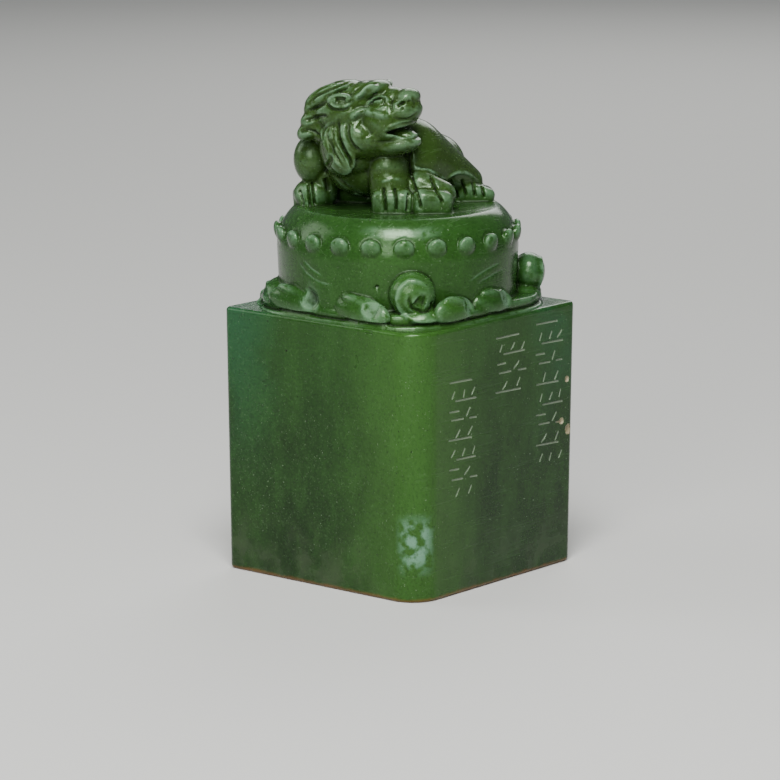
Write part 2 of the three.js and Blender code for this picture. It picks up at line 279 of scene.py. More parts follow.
# Lion's body and legs
# The handle is a crouching lion, cut from the same stone. Its back slopes from high shoulders to a
# low rump. It lies on its right hip, so both hind feet come out on its left, and the tail is laid
# over the hip. The feet are square blocks with the toes cut in afterwards.
DRUM_DECK = Matrix.Translation((0, 0, DRUM_TOP))
LIMB_FACETS = 96
PAW_SUNK = 0.9
PAW_FRONT_ROUNDING = 0.42
PAW_FRONT_FACETS = 8
PAW_ROUNDING = 1.3
PAW_FACETS = 4
PAW_EDGE_ANGLE = 0.6


def join(parts):
    bpy.ops.object.select_all(action="DESELECT")
    for part in parts:
        part.select_set(True)
    bpy.context.view_layer.objects.active = parts[0]
    bpy.ops.object.join()
    return parts[0]


def limb(start, end, start_radius, end_radius):
    """A limb with round ends that tapers from one radius to another."""
    ends = ((start, start_radius), (end, end_radius))
    whole = join([mass(at, [radius] * 3, carrier=DRUM_DECK, segments=LIMB_FACETS) for at, radius in ends])
    bpy.ops.object.mode_set(mode="EDIT")
    bpy.ops.mesh.select_all(action="SELECT")
    bpy.ops.mesh.convex_hull()
    bpy.ops.object.mode_set(mode="OBJECT")
    return whole


def finish_with(piece, kind, **settings):
    """Adds a modifier to a piece and applies it."""
    bpy.ops.object.select_all(action="DESELECT")
    piece.select_set(True)
    bpy.context.view_layer.objects.active = piece
    modifier = piece.modifiers.new(kind.lower(), kind)
    for name, value in settings.items():
        setattr(modifier, name, value)
    bpy.ops.object.modifier_apply(modifier=modifier.name)


def paw(at, heading, size, roll=0):
    """A square-cut foot with a rounded front, its toes towards X before it is turned and rolled."""
    width, length, height = size
    foot = box((0, 0, (height - PAW_SUNK) / 2), (length, width, height + PAW_SUNK))
    bpy.ops.object.mode_set(mode="EDIT")
    pick("EDGE", lambda edge: all(c.co.x > 0 and c.co.z > height / 2 for c in edge.verts))
    bpy.ops.mesh.bevel(offset=PAW_FRONT_ROUNDING * height, segments=PAW_FRONT_FACETS, affect="EDGES")
    bpy.ops.object.mode_set(mode="OBJECT")
    edges = {"limit_method": "ANGLE", "angle_limit": PAW_EDGE_ANGLE}
    finish_with(foot, "BEVEL", width=PAW_ROUNDING, segments=PAW_FACETS, **edges)
    turned = Euler((math.radians(roll), 0, math.radians(heading))).to_matrix().to_4x4()
    foot.matrix_world = DRUM_DECK @ Matrix.Translation(at) @ turned
    return settle(foot)


chest = mass((-2.9, -4.1, 5.5), (5, 4.5, 4.3), (0, 0, 12), DRUM_DECK)
belly = mass((-5.6, -0.6, 1.6), (4.6, 3.2, 2.8), (0, 0, 40), DRUM_DECK)
throat = mass((-1.8, -6.9, 7), (3.2, 2.9, 2.6), (0, 0, 0), DRUM_DECK)
back = limb((-1.6, -1.6, 6.1), (0.2, 6.2, 4.2), 5.2, 4.4)
left_thigh = limb((0.6, 0.6, 6), (3.6, 9.2, 2.2), 5.3, 2.1)
right_hip = limb((-3.4, 1.6, 5), (-4.6, 8.8, 2.3), 4.6, 2.3)
tail = limb((0.4, 10.2, 1.4), (-2.8, 8.6, 5), 1, 1.4)
carved += [chest, belly, throat, back, left_thigh, right_hip, tail]

left_fore = limb((1.9, -4.8, 5.6), (2.7, -5.1, 1.6), 2.7, 2.65)
left_fore_paw = paw((3.5, -5.8, 0), -56, (5.3, 4, 3.1))
right_shoulder = mass((-8.5, -7.6, 5.9), (2.4, 2.5, 3.2), (0, 0, 20), DRUM_DECK)
right_fore = limb((-7.2, -6.4, 4), (-7.4, -6.4, 1.4), 1.8, 1.7)
right_wrist = mass((-8.5, -7.4, 1.3), (2.6, 2.3, 2.1), (0, 0, 20), DRUM_DECK)
right_fore_paw = paw((-8.6, -7.4, 0), -112, (4.3, 4.2, 2.6), 12)
near_hock = limb((5.0, -2.2, 3.0), (7.4, -0.9, 1.9), 2.2, 2.0)
near_hind_paw = paw((7.1, -2.5, 0), -45, (5.2, 4.8, 3.0), -6)
far_hind_paw = paw((4.8, 8.4, 0), -45, (5.7, 4, 2.3), -17)
carved += [left_fore, left_fore_paw, right_shoulder, right_fore, right_wrist, right_fore_paw]
carved += [near_hock, near_hind_paw, far_hind_paw]

# Lion's head
# The head is turned over the lion's left shoulder. It has a domed crown with combed locks, leaf
# ears, heavy brows, almond eyes, a blunt lifted nose and an open mouth, and a mane that falls in
# flat tongues. Its own frame has X forwards, Y to its left and Z up.
HEAD_AT = (-1.9, -6.8, 11.15)
HEAD_TURN = math.radians(15)
HEAD = DRUM_DECK @ Matrix.Translation(HEAD_AT) @ Matrix.Rotation(HEAD_TURN, 4, "Z")
# Where each mass lies, its half sizes and its turn. Those in pairs are given for the left side.
HEAD_MASSES = {
    "skull": ((-0.7, 0, 1.7), (5, 4.4, 3.75), (0, 0, 0)),
    "jowls": ((1, 0, -1.4), (4.8, 4.7, 3.6), (0, 0, 0)),
    "face": ((4.2, 0, 0.4), (4.2, 3.7, 3.5), (0, -12, 0)),
    "muzzle": ((6.1, 0, 1.8), (3.2, 2.9, 2), (0, -10, 0)),
    "nose": ((7.4, 0, 3.5), (1.6, 2.1, 1.3), (0, -15, 0)),
    "bridge": ((5.2, 0, 3.4), (2.3, 1.8, 1.4), (0, -5, 0)),
    "jaw": ((5.6, 0, -2.5), (3.6, 2.6, 1.5), (0, -10, 0)),
    "forehead": ((3.1, 0, 4.5), (1.8, 2.7, 1.15), (0, -10, 0)),
    "crown": ((1.2, 0, 4.2), (2.6, 2.4, 1.2), (0, -12, 0)),
    "ruff": ((-1.3, 0, -2.8), (3.2, 4.3, 4.4), (0, 0, 0)),
    "nape": ((-3.8, 0, -0.6), (2.4, 3, 2.8), (0, 0, 0)),
}
HEAD_PAIRS = {
    "brow": ((2.2, 2.15, 4.0), (2.4, 0.85, 0.75), (0, -26, -6)),
    "eye": ((4.5, 2.05, 3.0), (1.45, 0.62, 0.8), (0, -14, 0)),
    "ear": ((-0.4, 3.95, 3.35), (1.8, 0.8, 0.85), (0, -10, 0)),
    "cheek lock": ((-0.5, 3.7, -3.2), (2.1, 1, 3.3), (0, -22, 0)),
    "crown lock": ((-3.2, 2, 3.3), (3.3, 1.8, 1.4), (0, -27, 6)),
    "upper nape lock": ((-4.7, 1.7, 1.9), (1.7, 1.7, 1.2), (0, -30, 0)),
    "middle nape lock": ((-5.2, 1.7, 0.3), (1.7, 1.7, 1.2), (0, -30, 0)),
    "lower nape lock": ((-5.7, 1.7, -1.3), (1.7, 1.7, 1.2), (0, -30, 0)),
}
TONGUE = ((6.0, 0, -1.2), (2.6, 1.5, 0.8), (0, 0, 0))
MOUTH_CORNER = (5.7, -0.7)
MOUTH_REACH = 11
MOUTH_LIPS = (-2.2, 1.1)
MOUTH_WIDTH = 9
MOUTH_CORNER_GAPE = 0.1
HEAD_VOXEL = 0.2

head_parts = [mass(*sizes, HEAD) for sizes in HEAD_MASSES.values()]
for side in (-1, 1):
    for (ahead, left, up), size, (roll, pitch, yaw) in HEAD_PAIRS.values():
        head_parts.append(mass((ahead, side * left, up), size, (roll, pitch, side * yaw), HEAD))
head = join(head_parts)
finish_with(head, "REMESH", mode="VOXEL", voxel_size=HEAD_VOXEL)

gape = (MOUTH_LIPS[1] - MOUTH_LIPS[0]) / 2
lips_level = sum(MOUTH_LIPS) / 2
mouth_middle = ((MOUTH_CORNER[0] + MOUTH_REACH) / 2, 0, lips_level)
mouth = box(mouth_middle, (MOUTH_REACH - MOUTH_CORNER[0], MOUTH_WIDTH, 2 * gape))
bpy.ops.object.mode_set(mode="EDIT")
pick("FACE", lambda face: face.normal.x < -SQUARE_ON)
corner_at = (MOUTH_CORNER[0], 0, MOUTH_CORNER[1])
bpy.ops.transform.resize(value=(1, 1, MOUTH_CORNER_GAPE), center_override=corner_at)
bpy.ops.object.mode_set(mode="OBJECT")
mouth.matrix_world = HEAD
settle(mouth)
finish_with(head, "BOOLEAN", operation="DIFFERENCE", object=mouth, solver="MANIFOLD")
bpy.data.objects.remove(mouth)
tongue = mass(*TONGUE, HEAD)
carved += [head, tongue]

# Carving
# The masses are one stone, so they are run together and softened, and the finer carving is then cut
# and raised stroke by stroke, as with a graver: toes, mane, ear, brow, eye, scrolls and nail cuts.
# Strokes that the photograph shows are given by its pixels and laid on the stone behind them.
SKIN_VOXEL = 0.14
SKIN_SOFTENING = {"factor": 0.5, "iterations": 4}
VIEW_AZIMUTH = math.radians(39.714)
VIEW_ELEVATION = math.radians(11.5214)
VIEW_DISTANCE = 522.04
VIEW_FOCAL = 4000
VIEW_AIM_HEIGHT = 23.321
VIEW_AIM_SHIFT = 1.3527
PICTURE_SIDE = 780
VIEW_RIGHT = Vector((math.cos(VIEW_AZIMUTH), math.sin(VIEW_AZIMUTH), 0))
VIEW_BACK = Vector(
    (
        math.sin(VIEW_AZIMUTH) * math.cos(VIEW_ELEVATION),
        -math.cos(VIEW_AZIMUTH) * math.cos(VIEW_ELEVATION),
        math.sin(VIEW_ELEVATION),
    )
)
VIEW_UP = VIEW_BACK.cross(VIEW_RIGHT)
VIEW_AIM = Vector((0, 0, VIEW_AIM_HEIGHT)) - VIEW_AIM_SHIFT * VIEW_RIGHT
VIEW_EYE = VIEW_AIM + VIEW_DISTANCE * VIEW_BACK
HEAD_MIRROR = HEAD @ Matrix.Diagonal((1, -1, 1, 1)) @ HEAD.inverted()
# Steps along a stroke: in pixels, on the drum and through the air
PIXEL_STEP = 1.0
ROUND_STEP = 0.1
PATH_STEP = 0.15
OUTSIDE = 25
# A stroke up to this wide is cut sharp. Its ends keep part of its depth, and it stays on one side.
SHARP_CUT = 0.7
STROKE_END = 0.2
SAME_SIDE = 0.2
FACET_FIRMNESS = 3
FACET_SLACK = 0.01

carving = join(carved)
carving.name = "carved_seal"
finish_with(carving, "REMESH", mode="VOXEL", voxel_size=SKIN_VOXEL)
finish_with(carving, "SMOOTH", **SKIN_SOFTENING)


def read_points(mesh, what):
    values = np.empty(3 * len(mesh.vertices))
    mesh.vertices.foreach_get(what, values)
    return values.reshape(-1, 3)


def take_stock():
    """Puts the worked skin into the mesh, and reads how it lies now."""
    global facing, surface
    carving.data.vertices.foreach_set("co", skin.ravel())
    carving.data.update()
    facing = read_points(carving.data, "normal")
    surface = BVHTree.FromObject(carving, bpy.context.evaluated_depsgraph_get())


def smooth_path(points, spacing):
    """More points on a smooth curve through the given ones."""
    points = np.array(points, float)
    if len(points) < 2:
        return points
    ends = 2 * points[0] - points[1], 2 * points[-1] - points[-2]
    guides = np.vstack([ends[0], points, ends[1]])
    path = []
    for a, b, c, d in zip(guides, guides[1:], guides[2:], guides[3:]):
        count = max(2, round(float(np.linalg.norm(c - b)) / spacing))
        for t in np.linspace(0, 1, count, endpoint=False):
            bend = (2 * a - 5 * b + 4 * c - d) * t**2 + (3 * b - a - 3 * c + d) * t**3
            path.append(0.5 * (2 * b + (c - a) * t + bend))
    path.append(points[-1])
    return np.array(path)


def laid(hits):
    """A stroke: its points on the stone, and the way that the stone faces there."""
    return np.array([hit[0] for hit in hits]), np.array([hit[1] for hit in hits])


def sight(x, y):
    """The line of sight through a pixel of the photograph."""
    across = (x - PICTURE_SIDE / 2) / VIEW_FOCAL
    upward = (PICTURE_SIDE / 2 - y) / VIEW_FOCAL
    return across * VIEW_RIGHT + upward * VIEW_UP - VIEW_BACK


def seen(pixels):
    """The stroke on the stone that is seen along these pixels of the photograph."""
    hits = []
    for x, y in smooth_path(pixels, PIXEL_STEP).tolist():
        ray = sight(x, y)
        hit = surface.ray_cast(VIEW_EYE, ray.normalized())
        if hit[0] is None:
            hit = surface.find_nearest(VIEW_EYE + VIEW_DISTANCE * ray)
        hits.append(hit)
    return laid(hits)


def snapped(points):
    """The stroke on the stone nearest to these points."""
    return laid([surface.find_nearest(Vector(point)) for point in points])


def mirrored(stroke):
    return snapped([HEAD_MIRROR @ Vector(point) for point in stroke[0]])


def round_stroke(place, points):
    """A stroke drawn in X and Y of a frame on the drum, laid on the stone from outside."""
    inward = -place.col[2].to_3d()
    hits = []
    for x, y in smooth_path(points, ROUND_STEP).tolist():
        hit = surface.ray_cast(place @ Vector((x, y, OUTSIDE)), inward)
        if hit[0] is not None:
            hits.append(hit)
    return laid(hits)


def work(stroke, width, height, wear_sheen=0.0, painted_shade=0.0, fade=0.15):
    """Raises the skin along a stroke, or cuts it where the height is below 0, and paints it pale (wear and
    painted highlight) and dark (painted shade) as asked.
    """
    points, normals = stroke
    if width > SHARP_CUT:
        normals = np.broadcast_to(normals.mean(0) / np.linalg.norm(normals.mean(0)), normals.shape)
    inside = (skin > points.min(0) - width) & (skin < points.max(0) + width)
    near = np.flatnonzero(inside.all(1))
    gaps = np.linalg.norm(skin[near][:, None] - points[None], axis=2)
    nearest = gaps.argmin(1)
    amount = (1 - gaps.min(1) / width).clip(0, 1)
    if height > 0 or width > SHARP_CUT:
        amount = amount * amount * (3 - 2 * amount)
    if fade and len(points) > 1:
        along = nearest / (len(points) - 1)
        amount = amount * (np.minimum(along, 1 - along) / fade).clip(STROKE_END, 1)
    amount = amount * ((facing[near] * normals[nearest]).sum(1) > SAME_SIDE)
    skin[near] += normals[nearest] * (height * amount)[:, None]
    wear_and_sheen[near] = np.maximum(wear_and_sheen[near], wear_sheen * amount)
    hollow_shade[near] = np.maximum(hollow_shade[near], painted_shade * amount)


def facet(centre, normal, radius, wear_sheen):
    """Dresses the skin within a radius down to a flat facet, and paints it pale, partly wear and partly a
    painted highlight.
    """
    offset = skin - np.array(centre)
    away = np.linalg.norm(offset, axis=1)
    near = np.flatnonzero(away < radius)
    proud = (offset[near] @ np.array(normal)).clip(0)
    hold = ((1 - away[near] / radius) * FACET_FIRMNESS).clip(0, 1)
    skin[near] -= np.array(normal) * (proud * hold)[:, None]
    wear_and_sheen[near] = np.maximum(wear_and_sheen[near], wear_sheen * hold * (proud > FACET_SLACK))


skin = read_points(carving.data, "co")
wear_and_sheen = np.zeros(len(skin))
hollow_shade = np.zeros(len(skin))
take_stock()

# Broad hollows come first, in the ears, round the eyes and in the scrolls: half width, height, pixels
HOLLOWS = [
    (0.75, -0.5, [(334, 100.3), (340, 100.3), (346, 100.5)]),
    (0.9, -0.2, [(353, 110), (361, 106.5), (368, 108)]),
    (0.95, -0.4, [(370, 103), (378, 100), (386, 101)]),
    (1.3, -0.3, [(358, 122), (366, 128), (372, 136)]),
]
SCROLL_DISH = [(0.1, -0.3), (0.7, -0.7), (1.6, -0.8)]
SCROLL_DISH_WIDTH = 1.5
SCROLL_DISH_DEPTH = 0.6
for width, height, pixels in HOLLOWS:
    stroke = seen(pixels)
    work(stroke, width, height)
    work(mirrored(stroke), width, height)
for place, narrow in scroll_places:
    scaled = [(narrow * x, narrow * y) for x, y in SCROLL_DISH]
    work(round_stroke(place, scaled), SCROLL_DISH_WIDTH, -narrow * SCROLL_DISH_DEPTH)

# A flat facet on each crest's right half: how far along and up, how it faces, its depth and size, and how
# pale it is painted, partly wear and partly a painted highlight
CREST_FACET = {"along": 0.45, "up": 0.9, "turn": (0.42, 0.3, 1), "depth": 0.32, "size": 1.7, "wear_sheen": 0.8}
for place, along, half in crest_places:
    crest_at = (along + CREST_FACET["along"] * half, CREST_LEVEL + CREST_FACET["up"])
    stroke = round_stroke(place, [crest_at])
    flat = (place.to_3x3() @ Vector(CREST_FACET["turn"])).normalized()
    centre = Vector(stroke[0][0]) - flat * CREST_FACET["depth"]
    facet(centre, flat, CREST_FACET["size"], CREST_FACET["wear_sheen"])
take_stock()

# Mane, cheek, ear, brow, eye, nose and lips: half width, height, pale paint for wear and painted
# highlight, dark paint for painted shade, and pixels of a stroke
HEAD_STROKES = [
    (
        0.3, 0.12, 0.6, 0,
        [(336, 119), (326, 126), (321.5, 134), (324, 144), (330, 154), (337, 163), (345, 170)],
    ),
    (0.28, -0.3, 0, 0.4, [(331, 126), (326.5, 134), (328.5, 143), (334, 153), (341, 164)]),
    (0.34, -0.6, 0, 1, [(339, 121), (338, 130), (339.5, 140), (344, 150), (350, 160), (353, 170)]),
    (0.45, -0.4, 0, 0.5, [(349, 121), (347.5, 130), (349, 139), (354, 147), (361, 152)]),
    (0.25, -0.2, 0, 0.3, [(334.5, 124), (332.5, 134), (335, 144), (340, 153), (346, 163)]),
    (0.35, 0.1, 0.5, 0, [(343.5, 122), (342.5, 133), (345, 143), (350, 152)]),
    (0.65, 0.38, 0.9, 0, [(350, 121), (355, 114), (364, 111), (373, 113.5), (382, 115.5), (391, 115)]),
    (0.5, 0.38, 0, 0, [(374, 103.5), (383, 101.5)]),
    (0.26, 0.25, 0.8, 0, [(366, 106), (371, 101), (377, 97.3), (384, 97), (388, 100)]),
    (0.22, 0.14, 0.4, 0, [(368, 107.5), (376, 109), (386, 106.5)]),
    (0.24, -0.22, 0, 0.9, [(368, 105), (372, 101.8), (377, 99), (383, 98.8)]),
    (0.3, -0.3, 0, 1, [(373.5, 94.5), (378, 93.5)]),
    (0.55, 0.5, 0.95, 0, [(353, 100.5), (360, 95), (366, 89.5), (371, 87), (377, 86.5)]),
    (0.3, -0.25, 0, 0.5, [(358, 92.5), (364, 86.5), (371, 83.5), (378, 83)]),
    # Not cut, only painted dark: a painted shadow in the ear
    (0.2, 0, 0, 1, [(333, 102), (337, 103.5), (342, 103.2), (346, 101.5)]),
    (0.3, 0.2, 0.95, 0, [(328.5, 100), (331, 103.5), (335, 106), (340, 106.8), (346, 105.8), (352, 102)]),
    (0.24, 0.1, 0.4, 0, [(328.5, 99), (334, 96.5), (341, 95.5), (347, 97.5), (352, 102)]),
    (0.3, -0.2, 0, 0.4, [(325.5, 101), (329, 107), (335, 110), (343, 110), (351, 107)]),
    (0.3, -0.4, 0, 0.5, [(352, 84), (344, 89), (335, 93), (325, 97)]),
    (0.22, 0.12, 0.9, 0, [(349.5, 83.5), (343, 89), (336, 93.5)]),
    (0.3, -0.4, 0, 0.4, [(349, 82), (338, 86), (327, 90.5), (316, 96), (308, 104)]),
    (0.3, -0.35, 0, 0.4, [(340, 81.5), (328, 85.5), (317, 91), (309, 98)]),
    (0.22, 0.1, 0.7, 0, [(346, 85.5), (338, 88.7), (328, 92.5)]),
    (0.3, -0.15, 0, 0.2, [(374, 82), (362, 86), (353, 92), (348, 97)]),
    (0.4, -0.4, 0, 0.6, [(306, 111.5), (313, 109.5), (320, 105.5), (326, 102)]),
    (0.4, -0.4, 0, 0.6, [(303.5, 121), (311, 119.5), (320, 116.5), (328, 116)]),
    (0.4, -0.35, 0, 0.6, [(299, 131.5), (306, 130), (313, 131.5), (320, 136)]),
    (0.3, -0.25, 0, 0.5, [(391.5, 111), (391, 105), (393, 99)]),
    (0.3, -0.35, 0, 0.7, [(397.5, 106), (401.5, 103.5), (405.5, 102)]),
    (0.25, 0.18, 0.9, 0, [(395, 104.5), (399.5, 102), (404.5, 99)]),
    (0.3, -0.3, 0, 0.8, [(409, 100), (409.5, 102)]),
    (0.3, -0.2, 0, 0.4, [(401, 108), (404, 109)]),
    (0.35, -0.15, 0, 0.2, [(412, 96), (415, 103), (413, 109)]),
    (0.28, -0.15, 0, 0.3, [(391, 117), (400, 119.5), (410, 118), (418, 112)]),
    (0.26, 0.12, 0.3, 0, [(385, 130.5), (390, 126.5), (398, 122.8), (406, 121), (413, 120.5)]),
    (0.32, 0.15, 0.8, 0, [(386, 134.5), (394, 136), (402, 138.5), (409, 138), (415, 135), (419, 133.5)]),
    (0.25, -0.1, 0, 0.2, [(372, 143), (384, 141.5), (396, 142), (406, 143.5)]),
    (0.5, 0, 0.8, 0, [(380, 108), (386, 110), (391, 113)]),
    (0.5, 0, 0.6, 0, [(382, 114), (387, 112)]),
]
# Neck, knee, feet, belly, the drum's shoulder, two pits and four scratches on the drum's wall
BODY_STROKES = [
    (0.9, -0.18, 0, 0.1, [(372, 175), (390, 174), (408, 175)]),
    (0.28, 0.08, 0.9, 0, [(381, 181.5), (390, 179.5), (400, 178.5)]),
    (0.45, -0.45, 0, 0.6, [(409.5, 150), (410.5, 163), (411.5, 176)]),
    (0.4, 0.28, 0.9, 0, [(411, 166.5), (420, 169.5), (430, 171.5), (439, 176), (447, 180.5)]),
    (0.4, 0.22, 0.8, 0, [(447, 180), (452, 175), (460, 172.5), (468, 174), (478, 180.5)]),
    (0.45, -0.55, 0, 1, [(324, 177.5), (327, 184), (328.5, 192)]),
    (0.5, -0.35, 0, 0.4, [(329, 137), (332, 148), (330, 161), (323, 175)]),
    # The line under the chest is cut and painted dark as a painted shadow
    (0.4, -0.45, 0, 1, [(349, 193.5), (355, 192.8), (362, 195), (370, 197.5)]),
    (0.45, -0.3, 0, 0.3, [(336, 176), (344, 184), (352, 190)]),
    # The drum's shoulder is not cut, only painted pale as a painted highlight
    (1.1, 0, 0.6, 0, [(364, 231), (384, 233), (402, 233), (422, 233), (441, 231)]),
    (0.35, -0.3, 0, 1, [(375, 286.5), (379, 287.5)]),
    (0.25, -0.2, 0, 1, [(369, 220), (371, 220.5)]),
    (0.18, -0.07, 0.7, 0, [(299, 262), (306, 272), (318, 281), (331, 285)]),
    (0.18, -0.07, 0.7, 0, [(303, 259), (311, 268), (322, 276)]),
    (0.18, -0.07, 0.6, 0, [(470, 281), (484, 271), (501, 262)]),
    (0.18, -0.07, 0.6, 0, [(478, 283), (492, 275), (506, 268)]),
]
TOE_CUT = {"width": 0.3, "height": -0.45, "painted_shade": 0.7, "fade": 0.05}
TOE_CUTS = [
    [(383, 188), (385, 200), (386, 212)],
    [(395, 188), (396, 200), (396, 211)],
    [(409, 193), (408, 203), (407, 212)],
    [(411, 175), (414, 185), (418, 197), (421, 208)],
    [(431, 175), (434, 185), (440, 197), (443, 203)],
    [(450, 180), (455, 190), (458, 199)],
    [(462, 180), (464, 187), (466, 195)],
    [(473, 182), (474, 188), (475, 196)],
    [(482, 185), (483, 190), (484, 197)],
    [(299, 190), (302, 199), (303, 206)],
    [(308, 183), (309, 195), (311, 207)],
    [(312, 182), (313, 195), (315, 205)],
]
for width, height, wear_sheen, painted_shade, pixels in HEAD_STROKES:
    stroke = seen(pixels)
    work(stroke, width, height, wear_sheen, painted_shade)
    work(mirrored(stroke), width, height, wear_sheen, painted_shade)
for width, height, wear_sheen, painted_shade, pixels in BODY_STROKES:
    work(seen(pixels), width, height, wear_sheen, painted_shade)
for pixels in TOE_CUTS:
    work(seen(pixels), **TOE_CUT)

# The back isn't seen in the photograph: a spine line, haunch creases and hair lines on the tail
BACK_CUT = {"width": 0.3, "height": -0.25, "painted_shade": 0.5}
BACK_STROKES = [
    [(-1.6, 0, 11.4), (-1.2, 3, 10.6), (-0.6, 6, 9), (-0.2, 8.6, 6.6)],
    [(-6.6, 3, 8), (-7.2, 5.4, 6), (-6.9, 8, 4), (-6, 9.6, 2.4)],
    [(-5.6, 2.4, 9), (-6, 5, 7.4), (-5.6, 8, 5.4), (-4.6, 10.2, 3.4)],
    [(0.6, 11.2, 1.6), (-1.2, 10.6, 3.6), (-2.8, 10, 5.2)],
    [(0.2, 11.2, 1), (-1.8, 10.4, 3), (-3.6, 9.6, 4.6)],
]
for points in BACK_STROKES:
    path = smooth_path([DRUM_DECK @ Vector(point) for point in points], PATH_STEP)
    work(snapped(path.tolist()), **BACK_CUT)
take_stock()

# A cut over each nail, the scrolls' ridges, eyes and holes, and the line at the border's foot
NAIL_CUT = {"width": 0.22, "height": -0.08, "painted_shade": 0.2}
NAIL_CUT_RADIUS = 1.38
NAIL_CUT_OVERRUN = 0.2
NAIL_CUT_POINTS = 20
SCROLL_RIDGE = [
    (3.5, -2.97), (1.7, -2.97), (-0.26, -2.77), (-1.57, -1.77), (-2.1, -0.3), (-1.7, 1.16),
    (-0.65, 2.0), (0.65, 1.9), (1.8, 1.2),
]
SCROLL_EYE_CUT = [(-0.5, 0.3), (-0.6, -0.6), (-0.1, -1.35), (0.9, -1.8), (1.96, -1.7), (2.5, -1.1)]
SCROLL_HOLE = [(2.3, -0.8), (2.4, -1.1)]
SCROLL_STROKES = [
    (0.35, -0.35, 0, 0.8, SCROLL_EYE_CUT),
    (0.6, 0.25, 0.8, 0, SCROLL_RIDGE),
    (0.4, -0.6, 0, 1, SCROLL_HOLE),
]
FOOT_CUT = {"width": 0.32, "height": -0.35, "painted_shade": 0.8, "fade": 0}
FOOT_LINE_REACH = 15.95
FOOT_LINE_LEVEL = BLOCK_HEIGHT + 0.6
FOOT_LINE_POINTS = 40

turns = np.linspace(-NAIL_CUT_OVERRUN, math.pi + NAIL_CUT_OVERRUN, NAIL_CUT_POINTS)
arc = [(NAIL_CUT_RADIUS * math.cos(turn), NAIL_CUT_RADIUS * math.sin(turn)) for turn in turns]
for place in nail_places:
    work(round_stroke(place, arc), **NAIL_CUT)
for place, narrow in scroll_places:
    for width, height, wear_sheen, painted_shade, path in SCROLL_STROKES:
        scaled = [(narrow * x, narrow * y) for x, y in path]
        work(round_stroke(place, scaled), width, narrow * height, wear_sheen, painted_shade)
straight = FOOT_LINE_REACH - RIM_CORNER_RADIUS
foot_line = []
for quarter in range(4):
    for t in np.linspace(0, math.pi / 2, FOOT_LINE_POINTS):
        turn = t + quarter * math.pi / 2
        corner = Vector((straight, straight, 0))
        corner.rotate(Euler((0, 0, quarter * math.pi / 2)))
        reach = RIM_CORNER_RADIUS * Vector((math.cos(turn), math.sin(turn), 0))
        foot_line.append(corner + reach + Vector((0, 0, FOOT_LINE_LEVEL)))
foot_line.append(foot_line[0])
work(snapped(smooth_path(foot_line, PATH_STEP)), **FOOT_CUT)
take_stock()

# Ridges that stand up are painted pale, partly wear and partly a painted highlight, and hollows are
# painted dark as painted shade. Both are read from how far the skin stands off a smoothed copy of itself.
HOLLOW_ROUNDS = 40
RIDGE_WEAR_AND_SHEEN = 0.6
PALE_FROM, PALE_TO = 0.03, 0.14
DARK_FROM, DARK_TO = 0.03, 0.16
SKIN_KEPT = 0.29
edges = np.empty(2 * len(carving.data.edges), int)
carving.data.edges.foreach_get("vertices", edges)
one, other = edges.reshape(-1, 2).T
neighbours = np.bincount(np.concatenate([one, other]), minlength=len(skin))
smoothed = skin.copy()
for _ in range(HOLLOW_ROUNDS):
    total = np.zeros_like(smoothed)
    for axis in range(3):
        total[:, axis] += np.bincount(one, smoothed[other, axis], len(skin))
        total[:, axis] += np.bincount(other, smoothed[one, axis], len(skin))
    smoothed = 0.5 * smoothed + 0.5 * total / neighbours[:, None]
stands_off = ((skin - smoothed) * facing).sum(1)
wear_and_sheen = np.maximum(wear_and_sheen, RIDGE_WEAR_AND_SHEEN * ((stands_off - PALE_FROM) / (PALE_TO - PALE_FROM)).clip(0, 1))
hollow_shade = np.maximum(hollow_shade, ((-stands_off - DARK_FROM) / (DARK_TO - DARK_FROM)).clip(0, 1))
for name, values in (("wear_and_sheen", wear_and_sheen), ("hollow_shade", hollow_shade)):
    carving.data.attributes.new(name, "FLOAT", "POINT").data.foreach_set("value", values)
finish_with(carving, "DECIMATE", ratio=SKIN_KEPT)

# Strokes and chips
# Three columns of shallow scratched strokes stand on the right face, whitish with dust: rows of short
# bars and leaning ticks. A few loose scratches lie on the front edge, and two chips are broken out of
# the right edge. Places are pixels of the photograph.
STROKE_DEPTH = 0.1
STROKE_RADIUS = 0.17
CUTTER_SEGMENTS = 12
CUTTER_RINGS = 8
UNEVEN_ENDS = 1.0
UNEVEN_LEVEL = 0.8
STROKE_COLUMNS = [
    {"left": 450, "right": 476, "top": 383, "bottom": 500, "rows": 12, "rise": 0.2},
    {"left": 497, "right": 525, "top": 338, "bottom": 402, "rows": 7, "rise": 0.22},
    {"left": 537, "right": 562, "top": 324, "bottom": 466, "rows": 14, "rise": 0.2},
]
# The strokes of a row: where each starts and ends over the column's width, and how far it falls
STROKE_ROWS = [
    [(0.0, 0.8, 0)],
    [(0.2, 0.1, 0.6), (0.6, 0.5, 0.6), (0.95, 0.85, 0.6)],
    [(0.25, 1.0, 0)],
    [(0.0, 0.3, 0), (0.75, 0.6, 0.7)],
    [(0.1, 0.5, 0), (0.8, 1.0, 0)],
    [(0.35, 0.22, 0.7), (0.85, 0.72, 0.7)],
]
LOOSE_SCRATCHES = [
    [(356, 356), (358, 363)],
    [(358, 363), (355, 368)],
    [(363, 330), (372, 332)],
    [(366, 333.5), (371, 334)],
]
CHIPS = [((567, 379), 0.55), ((561.5, 421), 0.6), ((568.5, 429), 0.95)]
CHIP_LIFT = 0.55
CHIP_ROUGHNESS = 0.05
CHIP_REACH = 1.5
CHIP_SHADE_DEPTH = 0.08
# The face with the strokes, away from its edges, and how deep a cut has to be to hold dust
EDGE_MARGIN = 1.0
CORNER_MARGIN = 1.3
DUST_FROM = 0.01
DUST_RANGE = 0.05
SMOOTH_ANGLE = math.radians(40)
NORMAL_WEIGHT = 60
random = np.random.default_rng(7)
block_surface = BVHTree.FromObject(block, bpy.context.evaluated_depsgraph_get())


def on_face(pixel):
    """The point of the block that is seen at a pixel of the photograph."""
    return block_surface.ray_cast(VIEW_EYE, sight(*pixel).normalized())


